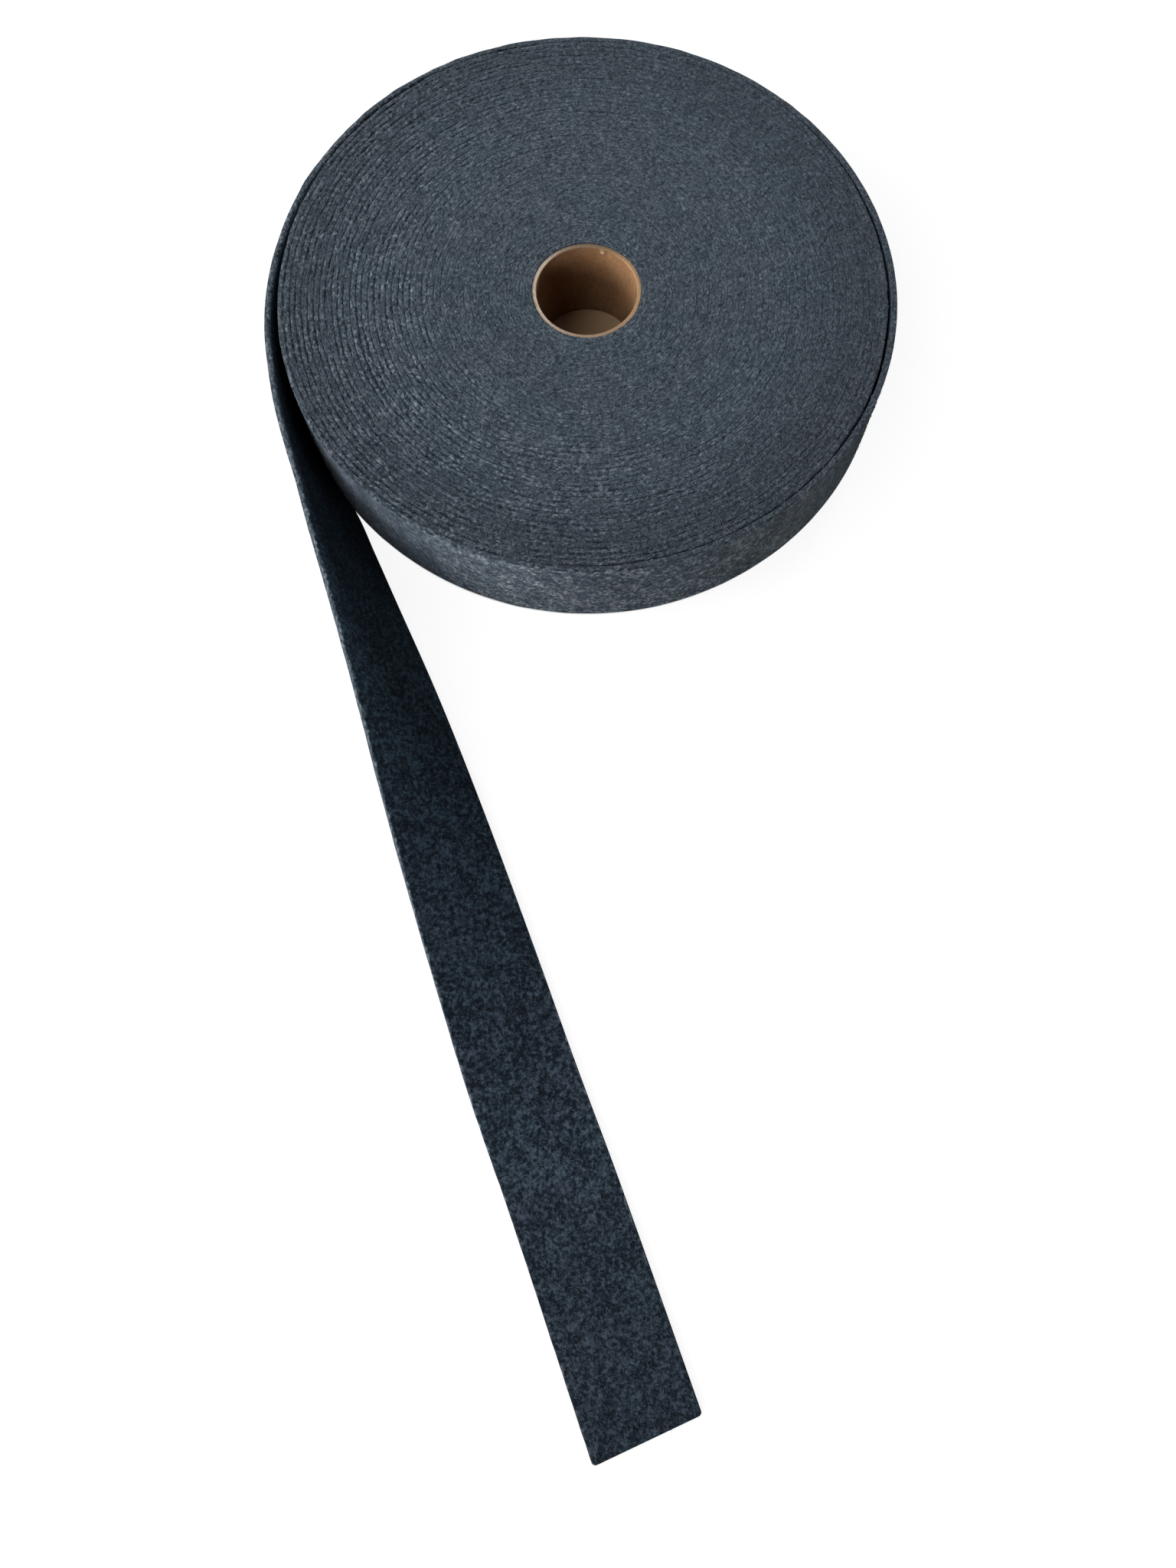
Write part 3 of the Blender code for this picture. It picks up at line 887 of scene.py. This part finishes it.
EDGE_OUT_TO = 0.6  # how far from its middle the outermost turn's cut edge takes fibres


def random_value(tree, kind, low, high, seed):
    """A different number for each strand, between two others."""
    node = put(tree, "FunctionNodeRandomValue", data_type=kind)
    values = {"Min": low, "Max": high, "Seed": seed}
    for socket in node.inputs:
        if socket.enabled and socket.name in values:
            socket.default_value = values[socket.name]
    return next(socket for socket in node.outputs if socket.enabled)


def compare(tree, first, operation, second):
    """Whether one number is less than, greater than or about equal to another."""
    node = put(tree, "FunctionNodeCompare", {0: first, 1: second}, operation=operation)
    if operation == "EQUAL":
        node.inputs["Epsilon"].default_value = 0.1
    return node.outputs[0]


def bent_strands(tree, length, thickness):
    """Strands of unlike bends, pointed at both ends, ready to be scattered."""
    section = {"Resolution": 3, "Radius": times(tree, thickness, 0.5)}
    section = shaped(tree, "CurvePrimitiveCircle", section)
    long = combined(tree, **dict.fromkeys("XYZ", length))
    middle = compare(tree, shaped(tree, "InputIndex"), "EQUAL", 1.0)
    strands = tree.nodes.new("GeometryNodeGeometryToInstance")
    for aside, up in STRAND_BENDS:
        ends = {"Start": (-0.5, 0.0, 0.0), "End": (0.5, 0.0, up)}
        line = shaped(tree, "CurvePrimitiveLine", ends)
        line = shaped(tree, "ResampleCurve", {"Curve": line, "Count": 3})
        bent = {"Geometry": line, "Selection": middle, "Offset": (0.0, aside, up)}
        line = shaped(tree, "SetPosition", bent)
        line = shaped(tree, "Transform", {"Geometry": line, "Scale": long})
        strand = {"Curve": line, "Profile Curve": section, "Scale": middle}
        strand = shaped(tree, "CurveToMesh", strand)
        strand = shaped(tree, "MergeByDistance", {"Geometry": strand, "Distance": 1e-6})
        tree.links.new(strand, strands.inputs[0])
    return strands.outputs[0]


def fluff_tree():
    """Scatter short bent strands over the marked faces, and make them one mesh."""
    tree, size = new_geometry_tree(
        "scatter loose fibres",
        ("Fibre Place", "Float", 1.0),
        ("Fibre Density", "Float", 1e5),
        ("Fibre Length", "Float", 0.002),
        ("Fibre Thickness", "Float", 0.0002),
        ("Fibre Seed", "Int", 1),
        ("Fibre", "Material", None),
    )
    wanted = compare(tree, named(tree, "fibre_place"), "EQUAL", size["Fibre Place"])
    scattered = {"Mesh": size["Geometry"], "Selection": wanted, "Density": size["Fibre Density"],
                 "Seed": size["Fibre Seed"]}
    scattered = put(tree, "GeometryNodeDistributePointsOnFaces", scattered).outputs
    height = separated(tree, shaped(tree, "InputPosition"))["Z"]
    low = compare(tree, height, "LESS_THAN", FLUFF_CLEAR)
    off_middle = maths(tree, "ABSOLUTE", separated(tree, named(tree, "felt_space", "FLOAT_VECTOR"))["Y"])
    outlying = compare(tree, off_middle, "GREATER_THAN", (TAPE_WIDTH / 2 - FLUFF_FROM_EDGE) * MM)
    on_face = compare(tree, size["Fibre Place"], "GREATER_THAN", ON_CUT_EDGES + 0.5)
    outlying = put(tree, "FunctionNodeBooleanMath", {0: outlying, 1: on_face}, operation="AND").outputs[0]
    unwanted = put(tree, "FunctionNodeBooleanMath", {0: outlying, 1: low}, operation="OR").outputs[0]
    places = {"Geometry": scattered["Points"], "Selection": unwanted}
    places = shaped(tree, "DeleteGeometry", places)

    strands = bent_strands(tree, size["Fibre Length"], size["Fibre Thickness"])
    roll = random_value(tree, "FLOAT", *STRAND_ROLL, 1)
    tip = random_value(tree, "FLOAT", *STRAND_TIP, 2)
    lie = combined(tree, X=roll, Y=tip, Z=random_value(tree, "FLOAT", 0.0, 2 * pi, 3))
    lie = {0: scattered["Rotation"], 1: put(tree, "FunctionNodeEulerToRotation", {0: lie}).outputs[0]}
    lie = put(tree, "FunctionNodeRotateRotation", lie, rotation_space="LOCAL").outputs[0]
    placed = {"Points": places, "Instance": strands, "Pick Instance": True, "Rotation": lie,
              "Instance Index": random_value(tree, "INT", 0, len(STRAND_BENDS) - 1, 4),
              "Scale": random_value(tree, "FLOAT", *STRAND_SIZES, 5)}
    placed = shaped(tree, "InstanceOnPoints", placed)
    end_tree(tree, placed, size["Fibre"])
    return tree


def fibre_places(mesh):
    """Which faces take fibres: the upper cut edges, and both faces of the tape where they show."""
    felt = np.zeros(len(mesh.vertices) * 3)
    mesh.attributes["felt_space"].data.foreach_get("vector", felt)
    travelled, across, through = felt.reshape(-1, 3).T / MM
    corners = np.zeros(len(mesh.loops), dtype=int)
    mesh.loops.foreach_get("vertex_index", corners)
    starts = np.zeros(len(mesh.polygons), dtype=int)
    mesh.polygons.foreach_get("loop_start", starts)

    def lowest(values):
        return np.minimum.reduceat(values[corners], starts)

    from_end = travelled.max() - lowest(travelled)
    wound_under = from_end > PULLED_LENGTH + OUTER_TURN
    places = np.zeros(len(mesh.polygons), dtype=np.float32)
    face = TAPE_THICK / 2 - FACE_WITHIN
    places[(lowest(through) > face) & (from_end < PULLED_LENGTH + OUTER_TURN)] = ON_OUTER_FACE
    places[(lowest(-through) > face) & (from_end < PULLED_LENGTH)] = ON_INNER_FACE
    cut = (lowest(across) > TAPE_WIDTH / 2 - TAPE_CORNER - EDGE_WITHIN) & (from_end > EDGE_FLUFF_ENDS)
    cut &= wound_under | (lowest(-through) > -EDGE_OUT_TO)
    places[cut] = ON_CUT_EDGES
    return places


fluffed = new_object("fluffed felt", tape_mesh.copy())
marks = fluffed.data.attributes.new("fibre_place", "FLOAT", "FACE")
marks.data.foreach_set("value", fibre_places(fluffed.data))
scatter = fluff_tree()
for fluff in FLUFF:
    fibre, fibre_nodes, fibre_shader = new_material(fluff.name, 0.9)
    where = fibre_nodes.nodes.new("ShaderNodeTexCoord").outputs["Object"]
    shade = remap(fibre_nodes, noise(fibre_nodes, where, *FLUFF_DYE), 0.3, 0.7, 0.7, 1.3)
    fibre_nodes.links.new(scaled(fibre_nodes, fluff.colour, shade), fibre_shader.inputs["Base Color"])
    sizes = {"fibre_place": float(fluff.place), "fibre_density": fluff.per_square_mm / MM ** 2,
             "fibre_length": fluff.length, "fibre_thickness": fluff.thickness, "fibre_seed": fluff.seed}
    strands = run_tree(fluffed, scatter, fibre=fibre, **sizes)
    place_piece(fluff.name, strands, "felt")
bpy.data.objects.remove(fluffed)


# The surface that the roll lies on: a plain white sheet, far wider than the picture. It glows, as a sheet
# lit from below does, so that its shadows stay faint.
FLOOR_SIZE = 12.0
SHEET_WHITE = (0.93, 0.93, 0.93, 1.0)
SHEET_GLOW = 0.955
SHEET_UNLIT = (0.1395, 0.1395, 0.1395)  # its own colour under the glow, and its browner one inside the tube
SHEET_IN_TUBE = (0.305, 0.217, 0.132)
GLOW_STARTS = (0.1515, 0.1535)  # radii round the tube between which the glow comes on; none under the roll, so painted shade at its foot
DARK_GAP = (-0.138, -0.057)  # painted shade where the tape's foot nearly meets the roll: no glow there, so no white sliver
DARK_GAP_REACH = (0.013, 0.015)
DARK_GAP_ENDS = (WOUND_RIM, WOUND_RIM + 0.0008)  # radii round the roll between which the glow is back again
SHEET_THROWN_BACK = (0.09, 0.12, 0.14, 1.0)  # what the sheet throws back on the felt
floor_mesh = bpy.data.meshes.new("pale_floor")
floor_shape = bmesh.new()
bmesh.ops.create_grid(floor_shape, x_segments=1, y_segments=1, size=FLOOR_SIZE / 2)
floor_shape.to_mesh(floor_mesh)
floor_shape.free()
pale_floor = new_object("pale_floor", floor_mesh)


def pale_sheet_material():
    """White where the camera sees it, dimmer for the light that it throws back."""
    material, tree, shader = new_material("pale_sheet", 0.9)
    here = tree.nodes.new("ShaderNodeTexCoord").outputs["Object"]
    from_tube = measure(tree, "DISTANCE", here, (TUBE_X, TUBE_Y, 0.0))
    from_roll = measure(tree, "DISTANCE", here, (ROLL_X, ROLL_Y, 0.0))
    from_gap = measure(tree, "DISTANCE", here, (ROLL_X + DARK_GAP[0], ROLL_Y + DARK_GAP[1], 0.0))
    off_gap = remap(tree, from_gap, *DARK_GAP_REACH)
    off_gap = maths(tree, "MAXIMUM", off_gap, remap(tree, from_roll, *DARK_GAP_ENDS))
    glow = times(tree, remap(tree, from_tube, *GLOW_STARTS, 0.0, SHEET_GLOW), off_gap)
    in_tube = maths(tree, "LESS_THAN", from_tube, TUBE_OUTER * MM)
    tree.links.new(mixed(tree, in_tube, SHEET_UNLIT, SHEET_IN_TUBE), shader.inputs["Base Color"])
    tree.links.new(glow, shader.inputs["Emission Strength"])
    shader.inputs["Emission Color"].default_value = SHEET_WHITE
    thrown_back = put(tree, "ShaderNodeBsdfDiffuse", {"Color": SHEET_THROWN_BACK}).outputs[0]
    seen = put(tree, "ShaderNodeLightPath").outputs["Is Camera Ray"]
    both = put(tree, "ShaderNodeMixShader", {0: seen, 1: thrown_back, 2: shader.outputs[0]}).outputs[0]
    tree.links.new(both, tree.nodes["Material Output"].inputs["Surface"])
    return material


floor_mesh.materials.append(pale_sheet_material())


# The light: a broad lamp low on the left and a smaller one over it, one low in front of them, two weak ones
# across the roll that fill its far side, and a pale room. Each lamp is a round one that faces the roll.
Lamp = namedtuple("Lamp", "name azimuth elevation distance size power colour")
WARM = (1.0, 0.98, 0.96)
COOL = (0.92, 0.97, 1.0)
LAMPS = (
    Lamp("left_lamp", 182.0, 23.0, 3.0, 2.2, 122.0, WARM),
    Lamp("high_lamp", 206.0, 57.0, 3.0, 1.8, 43.0, WARM),
    Lamp("front_lamp", 248.0, 14.0, 3.0, 1.4, 54.0, WARM),
    Lamp("far_lamp", 60.0, 17.0, 1.8, 0.6, 18.5, COOL),
    Lamp("right_lamp", 30.0, 60.0, 2.4, 1.3, 8.0, COOL),
)
AIMED_AT = Vector((ROLL_X, ROLL_Y, 0.03))
for lamp in LAMPS:
    light = bpy.data.lights.new(lamp.name, "AREA")
    light.shape = "DISK"
    light.size = lamp.size
    light.energy = lamp.power
    light.color = lamp.colour
    stand = new_object(lamp.name, light)
    away = Matrix.Rotation(radians(-lamp.elevation), 4, "Y") @ Vector((1, 0, 0))
    away = Matrix.Rotation(radians(lamp.azimuth), 4, "Z") @ away
    facing = away.to_track_quat("Z", "Y").to_matrix().to_4x4()
    stand.matrix_world = Matrix.Translation(AIMED_AT + away * lamp.distance) @ facing

ROOM_SEEN = (0.96, 0.97, 0.98, 1.0)
ROOM_LIGHT = (0.70, 0.86, 1.0, 1.0)
ROOM_STRENGTH = 0.01
room = bpy.data.worlds.new("pale room")
room.use_nodes = True
bpy.context.scene.world = room
air = room.node_tree
backdrop = put(air, "ShaderNodeBackground", {"Color": ROOM_SEEN})
dim = put(air, "ShaderNodeBackground", {"Color": ROOM_LIGHT, "Strength": ROOM_STRENGTH})
seen = put(air, "ShaderNodeLightPath").outputs["Is Camera Ray"]
both = put(air, "ShaderNodeMixShader", {0: seen, 1: dim.outputs[0], 2: backdrop.outputs[0]})
air.links.new(both.outputs[0], air.nodes["World Output"].inputs["Surface"])
